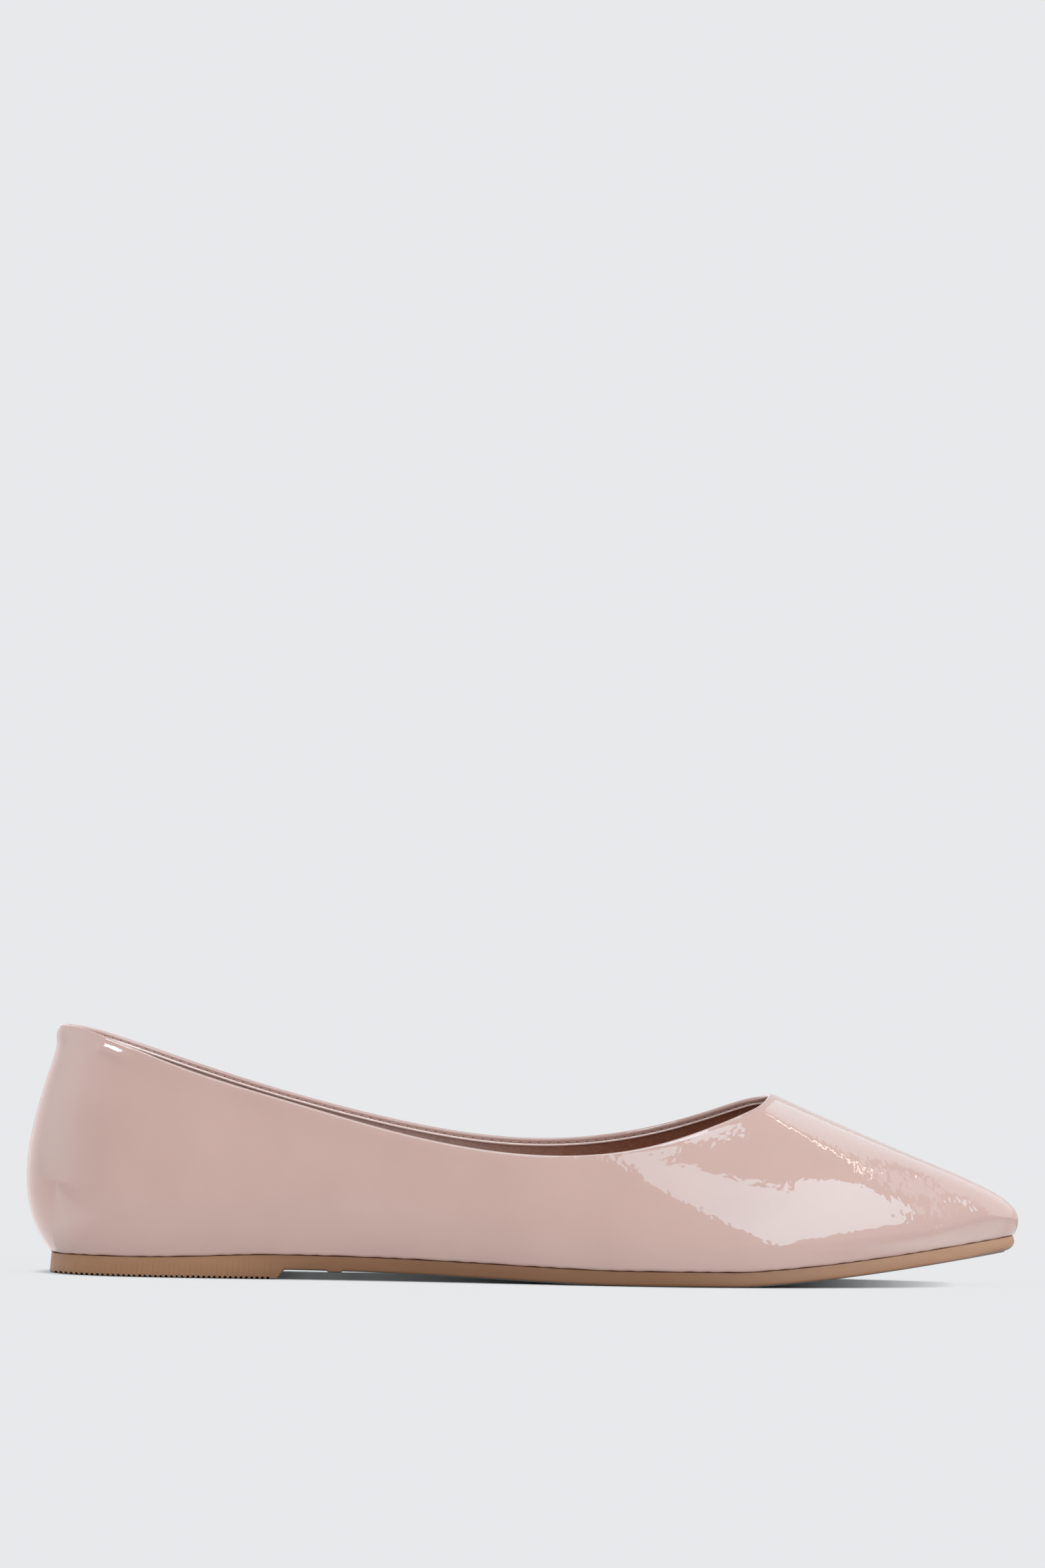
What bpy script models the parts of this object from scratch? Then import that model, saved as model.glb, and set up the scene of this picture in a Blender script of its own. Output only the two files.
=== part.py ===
"""Pointed toe flat shoe for the right foot: a patent upper, a padded insole and a moulded outsole.

Metres, +Z up. The toe points to +X, the inner side of the foot is +Y, and the shoe stands on z = 0.
"""

import math

import bmesh
import bpy
import numpy as np

# Driving sizes of the last
SHOE_LENGTH = 0.256  # overall length that every share of length is taken of
BALL_WIDTH = 0.0752  # outsole across the ball
HEEL_WIDTH = 0.0516  # outsole across the heel seat
BACK_HEIGHT = 0.0639  # collar at the back seam
SIDE_HEIGHT = 0.0333  # lowest point of the topline, on the outer side
THROAT_HEIGHT = 0.0490  # topline at the middle of the throat

# Upper
WALL = 0.0016  # patent, foam and lining together
LASTING_MARGIN = 0.009  # edge turned in under the insole
FEATHER_ROUND = 0.0011  # bend where the side turns in under the insole
RIM_ROUND = 0.0005  # rounded lips of the folded topline
RIB_ROWS = 10  # rows of faces between feather and topline

# Outsole
SOLE_THICKNESS = 0.0038  # waist and forefoot
HEEL_THICKNESS = 0.0051  # heel block and seat together
ARCH_RISE = 0.0024  # underside of the waist above the floor
TOE_SPRING = 0.0091  # underside of the toe tip above the floor
BREAST_SLOPE = 0.0020  # run of the slanted front face of the heel block
HEEL_EDGE_ROUND = 0.0005  # rounded lower edge of the heel block
EDGE_ROUND = 0.0012  # the same along the waist and forefoot
TOE_EDGE_ROUND = 0.0025  # and at the toe tip
EDGE_DRAFT = 0.0004  # the upper edge of the side stands in by this much
LUG_WIDTH = 0.0040  # raised bar across the waist
LUG_HEIGHT = 0.00045
TREAD_PITCH = 0.00137  # cross ribs under the heel block
TREAD_DEPTH = 0.00065
PAD_MARGIN = 0.012  # ribbed border left round the plain pad under the heel

# Insole
INSOLE_THICKNESS = 0.0025
INSOLE_ROUND = 0.0008  # rounded upper edge
INSOLE_CLEARANCE = 0.0006  # from its edge to the inside of the wall

GAP = 0.0003  # between pieces that lie on each other

# Places along the length
BREAST_X = 0.258 * SHOE_LENGTH  # middle of the heel block's front face
LUG_X = 0.3125 * SHOE_LENGTH
SEAT_RISE_X = 0.11 * SHOE_LENGTH  # the seat starts to rise to the waist
FLAT_BACK_X = 0.59 * SHOE_LENGTH  # forefoot flat on the floor
FLAT_FRONT_X = 0.715 * SHOE_LENGTH
SPINE_BACK_X = 0.13 * SHOE_LENGTH  # ends of the line that the lasting margin points to
SPINE_FRONT_X = 0.87 * SHOE_LENGTH
HEEL_CAP_X = 0.125 * SHOE_LENGTH  # columns crowd together round the back up to here
TOE_CAP_X = 0.93 * SHOE_LENGTH  # and round the tip from here

# Curves of the arch and of the toe spring, 1 being straight
ARCH_POWER = 1.3
SPRING_POWER = 1.37

SHARP_ANGLE = math.radians(40)  # edges that turn more than this stay crisp

# Columns of faces
CAP_COLUMNS = 8
SIDE_COLUMNS = 21

# Outline of the sole: x is a share of SHOE_LENGTH, and y is the sum of shares of the two widths.
# The rows run from the back, along the outer side to the toe, and back along the inner side.
OUTLINE = (
    # station, x, of ball width, of heel width
    ("back", 0.025, 0.0, 0.0),
    ("outer heel corner", 0.052, 0.0, -0.333),
    ("outer heel", 0.129, 0.0, -0.500),
    ("outer breast", 0.258, -0.050, -0.443),
    ("outer waist", 0.390, -0.240, -0.205),
    ("outer instep", 0.516, -0.455, 0.0),
    ("outer ball", 0.633, -0.508, 0.0),
    ("outer toes", 0.754, -0.447, 0.0),
    ("outer taper", 0.879, -0.243, 0.0),
    ("outer toe corner", 0.963, -0.035, 0.0),
    ("tip", 0.996, 0.093, 0.0),
    ("inner toe corner", 0.967, 0.202, 0.0),
    ("inner taper", 0.879, 0.348, 0.0),
    ("inner toes", 0.754, 0.471, 0.0),
    ("inner ball", 0.645, 0.492, 0.0),
    ("inner instep", 0.527, 0.415, 0.0),
    ("inner waist", 0.390, 0.180, 0.225),
    ("inner breast", 0.258, 0.040, 0.433),
    ("inner heel", 0.129, 0.0, 0.485),
    ("inner heel corner", 0.052, 0.0, 0.330),
)

TIP = [row[0] for row in OUTLINE].index("tip")
BACK_X = OUTLINE[0][1] * SHOE_LENGTH
TIP_X = OUTLINE[TIP][1] * SHOE_LENGTH
SPINE_FRONT_Y = (OUTLINE[TIP - 2][2] + OUTLINE[TIP + 2][2]) / 2 * BALL_WIDTH

# Topline, a row for the upper end of each station's rib. Its height is SIDE_HEIGHT plus
# shares of the rise to the back and of the rise to the throat.
TOPLINE = (
    # x, of ball width, of heel width, of rise to back, of rise to throat
    (0.0324, 0.0, 0.0, 1.000, 0.0),
    (0.0605, 0.0, -0.262, 0.958, 0.0),
    (0.141, 0.0, -0.422, 0.716, 0.0),
    (0.258, -0.060, -0.417, 0.422, 0.0),
    (0.387, -0.270, -0.174, 0.140, 0.0),
    (0.508, -0.404, 0.0, 0.0, 0.0),
    (0.605, -0.392, 0.0, 0.0, 0.096),
    (0.676, -0.322, 0.0, 0.0, 0.420),
    (0.721, -0.226, 0.0, 0.0, 0.713),
    (0.742, -0.105, 0.0, 0.0, 0.905),
    (0.747, 0.035, 0.0, 0.0, 1.000),
    (0.743, 0.155, 0.0, 0.0, 0.968),
    (0.723, 0.246, 0.0, 0.0, 0.879),
    (0.676, 0.337, 0.0, 0.0, 0.611),
    (0.609, 0.383, 0.0, 0.0, 0.312),
    (0.512, 0.386, 0.0, 0.040, 0.075),
    (0.387, 0.200, 0.244, 0.190, 0.0),
    (0.258, 0.050, 0.412, 0.448, 0.0),
    (0.141, 0.0, 0.417, 0.748, 0.0),
    (0.0605, 0.0, 0.262, 0.960, 0.0),
)

# Rib of each station, a cubic curve from the feather to the topline.
RIBS = (
    # lean out at the foot (degrees), its pull (share of rise),
    # slope at the topline (degrees from level), its pull (share of reach)
    (39, 0.43, 100, 0.12),
    (37, 0.41, 97, 0.14),
    (32, 0.36, 88, 0.22),
    (29, 0.33, 83, 0.30),
    (29, 0.33, 82, 0.33),
    (22, 0.33, 74, 0.36),
    (15, 0.33, 58, 0.42),
    (11, 0.33, 44, 0.50),
    (12, 0.32, 33, 0.62),
    (18, 0.33, 27, 0.73),
    (25, 0.344, 24.3, 0.78),
    (24, 0.34, 26, 0.73),
    (22, 0.37, 30, 0.62),
    (23, 0.41, 41, 0.50),
    (26, 0.42, 55, 0.42),
    (33, 0.38, 72, 0.36),
    (38, 0.34, 80, 0.33),
    (31, 0.33, 82, 0.30),
    (32, 0.36, 88, 0.22),
    (37, 0.41, 97, 0.14),
)
TOP_TURN = 0.012  # how far the outline's own normal still steers a rib at the topline


def closed_spline(knots, period, values):
    """Returns a smooth closed curve through the values at the knots, and its derivative."""
    count = len(knots)
    after = np.roll(np.arange(count), -1)
    step = np.diff(np.append(knots, knots[0] + period))
    slope = (values[after] - values) / step[:, None]
    system = np.zeros((count, count))
    for i in range(count):
        system[i, i - 1] += step[i - 1]
        system[i, i] += 2 * (step[i - 1] + step[i])
        system[i, after[i]] += step[i]
    bend = np.linalg.solve(system, 6 * (slope - np.roll(slope, 1, axis=0)))

    def at(places):
        places = np.asarray(places, float) % period
        i = np.searchsorted(knots, places, side="right") - 1
        h = step[i][:, None]
        along = (places - knots[i])[:, None]
        left, right = bend[i], bend[after[i]]
        base = slope[i] - h * (2 * left + right) / 6
        curve = values[i] + along * base + along**2 * left / 2
        curve = curve + along**3 * (right - left) / (6 * h)
        return curve, base + along * left + along**2 * (right - left) / (2 * h)

    return at


def smooth_step(value):
    value = np.clip(value, 0.0, 1.0)
    return value * value * (3 - 2 * value)


def toe_run(x):
    """0 up to the end of the flat forefoot, and 1 at the toe tip."""
    return np.clip((x - FLAT_FRONT_X) / (TIP_X - FLAT_FRONT_X), 0.0, None)


def shank(x):
    """Underside of the sole without its heel block: seat, arch, flat forefoot and toe spring."""
    share = np.clip((FLAT_BACK_X - x) / (FLAT_BACK_X - BREAST_X), 0.0, 1.0)
    arch = ARCH_RISE * np.sin(share * math.pi / 2) ** ARCH_POWER
    spring = TOE_SPRING * toe_run(x) ** SPRING_POWER
    under_seat = HEEL_THICKNESS - SOLE_THICKNESS
    rise = smooth_step((x - SEAT_RISE_X) / (BREAST_X - SEAT_RISE_X))
    seat = under_seat + (ARCH_RISE - under_seat) * rise
    return np.where(x < BREAST_X, seat, arch + spring)


def sole_top(x):
    return shank(x) + SOLE_THICKNESS


def sole_under(x):
    """Underside with the heel block and the bar across the waist."""
    bar = np.abs(x - LUG_X) < LUG_WIDTH / 2
    return np.where(x < BREAST_X, 0.0, shank(x) - LUG_HEIGHT * bar)


def station_places(steps=()):
    """x of each station from back to tip, close together round both ends, and one at each step."""
    turn = np.linspace(0.0, math.pi / 2, CAP_COLUMNS)
    heel_cap = BACK_X + (HEEL_CAP_X - BACK_X) * (1 - np.cos(turn))
    toe_cap = TIP_X - (TIP_X - TOE_CAP_X) * (1 - np.cos(turn[::-1]))
    side = np.linspace(HEEL_CAP_X, TOE_CAP_X, SIDE_COLUMNS + 1)[1:-1]
    clear = (side[1] - side[0]) / 3
    side = [x for x in side if all(abs(x - step) > clear for step in steps)]
    return np.array([*heel_cap, *sorted([*side, *steps]), *toe_cap])


def sole_steps():
    """x of both ends of the heel block's slanted front, and of the bar's four corners."""
    half = LUG_WIDTH / 2
    crown = half - LUG_HEIGHT
    breast = [BREAST_X - BREAST_SLOPE / 2, BREAST_X + BREAST_SLOPE / 2]
    return [*breast, LUG_X - half, LUG_X - crown, LUG_X + crown, LUG_X + half]


def last_curves():
    """The outline, topline and ribs as closed curves over one parameter that runs round the shoe."""
    rows = []
    for (_, x, ball, heel), top, rib in zip(OUTLINE, TOPLINE, RIBS, strict=True):
        top_x, top_ball, top_heel, to_back, to_throat = top
        rise = to_back * (BACK_HEIGHT - SIDE_HEIGHT) + to_throat * (THROAT_HEIGHT - SIDE_HEIGHT)
        foot_place = [x * SHOE_LENGTH, ball * BALL_WIDTH + heel * HEEL_WIDTH]
        top_place = [top_x * SHOE_LENGTH, top_ball * BALL_WIDTH + top_heel * HEEL_WIDTH, SIDE_HEIGHT + rise]
        rows.append([*foot_place, *top_place, *rib])
    rows = np.array(rows)
    chords = np.hypot(*np.diff(rows[:, :2], axis=0, append=rows[:1, :2]).T)
    knots = np.concatenate([[0.0], np.cumsum(chords)[:-1]])
    return closed_spline(knots, chords.sum(), rows), chords.sum()


def loop_parameters(curves, period, places):
    """Parameters of the columns round the shoe, in pairs across from each other at these x."""
    dense = np.linspace(0.0, period, 4001)
    x = curves(dense)[0][:, 0]
    back, tip = dense[0], dense[np.argmax(x)]
    outer = (dense >= back) & (dense <= tip)
    places = np.clip(places, x.min(), x.max())
    go = np.interp(places[1:-1], x[outer], dense[outer])
    come = np.interp(places[1:-1], x[~outer][::-1], dense[~outer][::-1])
    return np.array([back, *go, tip, *come[::-1]])


def upper_ribs(curves, s, rows):
    """Points of the outer surface, rows x columns, from the feather up to the topline."""
    value, slope = curves(s)
    foot = np.column_stack([value[:, :2], sole_top(value[:, 0]) + GAP])
    top = value[:, 2:5]
    out = outline_normals(slope)
    lean, foot_pull, pitch, top_pull = value[:, 5:9].T
    lean, pitch = np.radians(lean), np.radians(pitch)
    rise = top[:, 2] - foot[:, 2]
    reach = np.linalg.norm(top - foot, axis=1)
    across = foot[:, :2] - top[:, :2] + TOP_TURN * out
    across /= np.linalg.norm(across, axis=1)[:, None]
    first = np.column_stack([out * np.sin(lean)[:, None], np.cos(lean)]) * (foot_pull * rise)[:, None]
    last = np.column_stack([across * np.cos(pitch)[:, None], -np.sin(pitch)]) * (top_pull * reach)[:, None]
    t = np.asarray(rows)[:, None, None]
    surface = (1 - t) ** 3 * foot + 3 * (1 - t) ** 2 * t * (foot + first)
    return surface + 3 * (1 - t) * t**2 * (top + last) + t**3 * top


def outline_normals(slope):
    tangent = slope[:, :2] / np.linalg.norm(slope[:, :2], axis=1)[:, None]
    return np.column_stack([tangent[:, 1], -tangent[:, 0]])


def towards_spine(points, distance):
    """Moves points of the outline in towards a line down the middle of the sole."""
    x = np.clip(points[:, 0], SPINE_BACK_X, SPINE_FRONT_X)
    y = SPINE_FRONT_Y * (x - SPINE_BACK_X) / (SPINE_FRONT_X - SPINE_BACK_X)
    inward = np.column_stack([x, y]) - points
    return points + distance * inward / np.linalg.norm(inward, axis=1)[:, None]


def on_sole(points, height):
    """Lays flat points on top of the sole, a height above it."""
    return np.column_stack([points, sole_top(points[:, 0]) + height])


def with_height(points, heights):
    return np.column_stack([points, heights])


def strip_faces(first, second, count):
    """Quads between two closed loops of points, facing outwards when the second is above."""
    return [
        (first + i, first + (i + 1) % count, second + (i + 1) % count, second + i)
        for i in range(count)
    ]


def ladder_faces(start, count, up):
    """Fills a closed loop with rungs between the columns that lie across from each other."""
    faces = []
    for i in range(count // 2):
        rung = [start + i, start + i + 1, start + (count - i - 1) % count, start + (count - i) % count]
        rung = list(dict.fromkeys(rung))
        faces.append(tuple(rung if up else rung[::-1]))
    return faces


def mesh_object(name, loops, faces, material):
    mesh = bpy.data.meshes.new(name)
    mesh.from_pydata(np.concatenate(loops).tolist(), [], faces)
    mesh.materials.append(material)
    mesh.shade_smooth()
    mesh.set_sharp_from_angle(angle=SHARP_ANGLE)
    return bpy.data.objects.new(name, mesh)


def stacked_solid(name, loops, material):
    """A closed solid from loops listed from the lowest to the highest, with both ends filled."""
    count = len(loops[0])
    faces = ladder_faces(0, count, up=False)
    for level in range(len(loops) - 1):
        faces += strip_faces(level * count, (level + 1) * count, count)
    faces += ladder_faces((len(loops) - 1) * count, count, up=True)
    return mesh_object(name, loops, faces, material)


def finish_material(name, colour, roughness):
    """A plain material, its colour given as 8-bit sRGB."""
    linear = [((level / 255 + 0.055) / 1.055) ** 2.4 for level in colour]
    material = bpy.data.materials.new(name)
    material.use_nodes = True
    shader = material.node_tree.nodes["Principled BSDF"]
    shader.inputs["Base Color"].default_value = (*linear, 1.0)
    shader.inputs["Roughness"].default_value = roughness
    shader.inputs["Metallic"].default_value = 0.0
    return material


def make_upper(curves, s):
    value, slope = curves(s)
    outline, out = value[:, :2], outline_normals(slope)
    loops = [
        on_sole(towards_spine(outline, LASTING_MARGIN), GAP),
        on_sole(outline - FEATHER_ROUND * out, GAP),
    ]
    start = FEATHER_ROUND / (THROAT_HEIGHT - HEEL_THICKNESS)
    rows = start + (1 - start) * np.linspace(0.0, 1.0, RIB_ROWS + 1)
    loops += list(upper_ribs(curves, s, rows))
    count = len(s)
    faces = []
    for level in range(len(loops) - 1):
        faces += strip_faces(level * count, (level + 1) * count, count)
    upper = mesh_object("upper", loops, faces, finish_material("nude patent", (205, 172, 161), 0.12))
    shell = upper.modifiers.new("wall", "SOLIDIFY")
    shell.thickness = WALL
    shell.offset = -1.0
    shell.use_even_offset = True
    shell.use_quality_normals = True
    lips = upper.modifiers.new("folded lips", "BEVEL")
    lips.width = RIM_ROUND
    lips.segments = 1
    lips.limit_method = "ANGLE"
    lips.angle_limit = math.radians(65)
    return upper


def make_insole(curves, s):
    value, slope = curves(s)
    outline, out = value[:, :2], outline_normals(slope)
    base = GAP + WALL + GAP
    inset = WALL + INSOLE_CLEARANCE
    edge = outline - inset * out
    soft = outline - (inset + INSOLE_ROUND) * out
    loops = [
        on_sole(edge, base),
        on_sole(edge, base + INSOLE_THICKNESS - INSOLE_ROUND),
        on_sole(soft, base + INSOLE_THICKNESS),
    ]
    return stacked_solid("insole", loops, finish_material("sock lining", (170, 140, 132), 0.8))


def make_outsole(curves, s):
    value, slope = curves(s)
    outline, out = value[:, :2], outline_normals(slope)
    x = value[:, 0]
    under, top = sole_under(x), sole_top(x)
    radius = EDGE_ROUND + (TOE_EDGE_ROUND - EDGE_ROUND) * np.clip(toe_run(x), 0.0, 1.0)
    radius = np.where(x < BREAST_X, HEEL_EDGE_ROUND, radius)
    loops = []
    for turn in np.radians([0.0, 45.0, 90.0]):
        inset = (radius * (1 - np.sin(turn)))[:, None]
        loops.append(with_height(outline - inset * out, under + radius * (1 - np.cos(turn))))
    loops.append(with_height(outline - EDGE_DRAFT * out, top))
    return stacked_solid("outsole", loops, finish_material("tan rubber", (162, 124, 95), 0.45))


def make_tread_cutter():
    """Grooves across the underside of the heel block, parted by a plain pad in the middle."""
    cutter = bmesh.new()
    breast = BREAST_X - BREAST_SLOPE / 2
    pad_half = HEEL_WIDTH / 2 - PAD_MARGIN
    for i in range(1, int((breast - BACK_X) / TREAD_PITCH)):
        x = BACK_X + (i + 0.25) * TREAD_PITCH
        spans = [(-HEEL_WIDTH, HEEL_WIDTH)]
        if BACK_X + PAD_MARGIN < x < breast - PAD_MARGIN:
            spans = [(-HEEL_WIDTH, -pad_half), (pad_half, HEEL_WIDTH)]
        for low, high in spans:
            box = bmesh.ops.create_cube(cutter, size=1.0)["verts"]
            bmesh.ops.scale(cutter, vec=(TREAD_PITCH / 2, high - low, 2 * TREAD_DEPTH), verts=box)
            bmesh.ops.translate(cutter, vec=(x, (low + high) / 2, 0.0), verts=box)
    mesh = bpy.data.meshes.new("tread grooves")
    cutter.to_mesh(mesh)
    cutter.free()
    return bpy.data.objects.new("tread grooves", mesh)


def main():
    for old in list(bpy.data.objects):
        bpy.data.objects.remove(old, do_unlink=True)
    shoe = bpy.data.collections.new("pointed toe flat shoe")
    cutters = bpy.data.collections.new("cutters")
    for collection in (shoe, cutters):
        bpy.context.scene.collection.children.link(collection)

    curves, period = last_curves()
    s = loop_parameters(curves, period, station_places())
    stepped = loop_parameters(curves, period, station_places(sole_steps()))
    ribs = upper_ribs(curves, s, np.linspace(0.0, 1.0, 60)).reshape(-1, 3)
    middle = (ribs.min(axis=0) + ribs.max(axis=0)) / 2
    frame = bpy.data.objects.new("shoe frame", None)
    frame.location = (-middle[0], -middle[1], 0.0)
    shoe.objects.link(frame)

    outsole = make_outsole(curves, stepped)
    for piece in (outsole, make_upper(curves, s), make_insole(curves, s)):
        piece.parent = frame
        shoe.objects.link(piece)

    grooves = make_tread_cutter()
    grooves.parent = frame
    grooves.hide_render = True
    grooves.display_type = "WIRE"
    cutters.objects.link(grooves)
    cut = outsole.modifiers.new("tread", "BOOLEAN")
    cut.operation = "DIFFERENCE"
    cut.solver = "EXACT"
    cut.object = grooves


main()
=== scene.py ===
"""Looks of the pointed toe flat shoe: patent upper, linings, padded sock and moulded sole.

Metres, +Z up. The toe points to +X, the inner side of the foot is +Y, and the shoe stands on
z = 0. The last's sizes and tables are those of the solids, in the last's own frame, and every
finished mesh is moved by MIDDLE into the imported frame.
"""

import math

import bpy
import numpy as np
from mathutils import Matrix, Vector


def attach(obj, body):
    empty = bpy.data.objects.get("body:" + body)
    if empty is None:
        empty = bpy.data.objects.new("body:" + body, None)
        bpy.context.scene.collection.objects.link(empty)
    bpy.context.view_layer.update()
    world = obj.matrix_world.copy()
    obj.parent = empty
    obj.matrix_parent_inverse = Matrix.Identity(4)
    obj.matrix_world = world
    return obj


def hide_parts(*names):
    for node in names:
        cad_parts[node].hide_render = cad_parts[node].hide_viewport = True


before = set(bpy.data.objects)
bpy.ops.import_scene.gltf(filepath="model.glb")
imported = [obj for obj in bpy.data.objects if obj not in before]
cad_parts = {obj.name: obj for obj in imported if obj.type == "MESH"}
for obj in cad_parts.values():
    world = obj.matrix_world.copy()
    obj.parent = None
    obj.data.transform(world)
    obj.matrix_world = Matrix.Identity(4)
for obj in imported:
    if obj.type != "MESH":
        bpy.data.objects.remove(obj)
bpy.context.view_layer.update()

MM = 0.001
MIDDLE = (0.12796695, 0.00045039)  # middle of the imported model, in the last's own frame

# Driving sizes of the last
SHOE_LENGTH = 0.256
BALL_WIDTH = 0.0752
HEEL_WIDTH = 0.0516
BACK_HEIGHT = 0.0639
SIDE_HEIGHT = 0.0333
THROAT_HEIGHT = 0.0490

# Solids
WALL = 0.0016
LASTING_MARGIN = 0.009
SOLE_THICKNESS = 0.0038
HEEL_THICKNESS = 0.0051
ARCH_RISE = 0.0024
TOE_SPRING = 0.0091
BREAST_SLOPE = 0.0020
HEEL_EDGE_ROUND = 0.0005
TOE_EDGE_ROUND = 0.0025
EDGE_DRAFT = 0.0004
LUG_WIDTH = 0.0040
LUG_HEIGHT = 0.00045
TREAD_PITCH = 0.00137
TREAD_DEPTH = 0.00065
PAD_MARGIN = 0.012
INSOLE_THICKNESS = 0.0025
GAP = 0.0003

# Places along the length
BREAST_X = 0.258 * SHOE_LENGTH
LUG_X = 0.3125 * SHOE_LENGTH
SEAT_RISE_X = 0.11 * SHOE_LENGTH
FLAT_BACK_X = 0.59 * SHOE_LENGTH
FLAT_FRONT_X = 0.715 * SHOE_LENGTH
SPINE_BACK_X = 0.13 * SHOE_LENGTH
SPINE_FRONT_X = 0.87 * SHOE_LENGTH
HEEL_CAP_X = 0.125 * SHOE_LENGTH
TOE_CAP_X = 0.93 * SHOE_LENGTH
ARCH_POWER = 1.3
SPRING_POWER = 1.37
TOP_TURN = 0.012

# Upper, from its outer skin inwards
PATENT = 0.00095  # patent and its backing
RIM_RADIUS = 0.0008  # folded topline
BAND = 0.0020  # patent turned down inside, with a bead along its edge
BEAD_DOWN = 0.00166
BEAD_RADIUS = 0.00030
BAND_STEP = 0.00012  # rounding of the band's lower edge
LINING_OUT = 0.00100  # depths of the lining's two faces
LINING_IN = 0.00138
GRIP_IN = 0.00162  # the same behind the heel grip's edge
GRIP_X = 0.0507
GRIP_STEP = 0.00012  # half the run of its edge
GRIP_BEAD = 0.00025  # bead along that edge
GRIP_BEAD_HALF = 0.0002
LINING_TOP = 0.00004  # gap to the turned band
LINING_ROUND = 0.00006  # rounding of the lining's top
LINING_FOOT = 0.0004  # height above the sole at which it turns in
LINING_SEAT = 0.00005  # gap to the patent turned in below it
LINING_MARGIN = (0.003, 0.007)  # how far it reaches in under the insole
STITCH_PITCH = 0.00246
STITCH_LENGTH = 0.0018
STITCH_RADIUS = 0.00017
STITCH_DOWN = 0.00112  # from the topline
STITCH_RINGS = 7
STITCH_SIDES = 8
STITCH_GROOVE = 0.00008  # depth to which the thread draws the band in
GROOVE_HALF = 0.0002
STITCH_SINK = 0.00003
HOLE_HALF_LENGTH = 0.00027
HOLE_HALF_HEIGHT = 0.00015
HOLE_DEPTHS = (-0.00005, 0.00003)  # faces of the dark disc of painted shade that stands for a hole
COLUMN_PITCH = 0.0011
SKIN_ROWS = 96
INSIDE_ROWS = 14
LINING_ROWS = 30
SCENE_FEATHER = 0.0007  # bend where the side turns in under the insole
SEAT_GAP = 0.00004  # between upper and sole, which press together unevenly
SEAT_WAVE = 0.00014

# Sock
SOCK_ROWS = (14, 110)  # in each round end, and in between
SOCK_LINES = 19  # across it
SOCK_GAP = 0.00015  # to the lining
SOCK_CROWN = 0.0007
SOCK_CROWN_WIDTH = 0.025  # narrower stretches are crowned less
SOCK_SIDE = (  # shares of the thickness, and how far the side is drawn in there
    (0.0, 0.0006),
    (0.16, 0.0001),
    (0.48, 0.0),
    (0.64, 0.0),
    (0.8, 0.0001),
    (0.92, 0.00035),
    (1.0, 0.0009),
)

# Sole
SOLE_ROWS = (22, 130)
SOLE_LINES = (0.05, 0.17, 0.34, 0.42, 0.5)  # along the underside, up to the middle of its width
EDGE_LEVELS = 9  # of the rounded lower edge
SIDE_EDGE_ROUND = 0.0009
LIP = 0.00012  # chamfer of the top edge
BREAST_FILLET = 0.00025
LUG_FILLET = 0.0001
GROOVE_WALL = 0.00003  # half the run of a groove's wall
PLACE_CLEAR = 0.0002  # between an even place and a groove's wall
PAD_SHARE = 0.24  # share of the width at which the heel's plain pad starts
FORE_BACK_X = 0.56 * SHOE_LENGTH  # tread of the forefoot
FORE_FRONT_X = 0.9 * SHOE_LENGTH
FORE_PITCH = 0.0032
FORE_GROOVE = 0.22  # half a groove's width in pitches
FORE_DEPTH = 0.0004
FORE_BORDER = 0.11  # share of the width that stays plain at each side
EDGE_SHADE = "edge_shade"  # attribute of painted shade on the sole's lower edge, underside and grooves
SIDE_PAINTED_SHADE = (0.9, 1.0, 0.95, 0.75, 0.5, 0.25)  # painted shade on the lowest levels of the edge
# painted shade over the rest of the underside
UNDER_PAINTED_SHADE = 0.4
TOE_SHADE_LACK = 0.35  # share of the side's painted shade that the toe lacks
SHARP_ANGLE = math.radians(38)

# Outline of the sole: x is a share of the length, y the sum of shares of the two widths
OUTLINE = (
    (0.025, 0.0, 0.0),
    (0.052, 0.0, -0.333),
    (0.129, 0.0, -0.500),
    (0.258, -0.050, -0.443),
    (0.390, -0.240, -0.205),
    (0.516, -0.455, 0.0),
    (0.633, -0.508, 0.0),
    (0.754, -0.447, 0.0),
    (0.879, -0.243, 0.0),
    (0.963, -0.035, 0.0),
    (0.996, 0.093, 0.0),
    (0.967, 0.202, 0.0),
    (0.879, 0.348, 0.0),
    (0.754, 0.471, 0.0),
    (0.645, 0.492, 0.0),
    (0.527, 0.415, 0.0),
    (0.390, 0.180, 0.225),
    (0.258, 0.040, 0.433),
    (0.129, 0.0, 0.485),
    (0.052, 0.0, 0.330),
)
TIP = 10
BACK_X = OUTLINE[0][0] * SHOE_LENGTH
TIP_X = OUTLINE[TIP][0] * SHOE_LENGTH
BREAST_BACK_X = BREAST_X - BREAST_SLOPE / 2
HEEL_GROOVES = int((BREAST_BACK_X - BACK_X) / TREAD_PITCH)
SPINE_FRONT_Y = (OUTLINE[TIP - 2][1] + OUTLINE[TIP + 2][1]) / 2 * BALL_WIDTH

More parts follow.
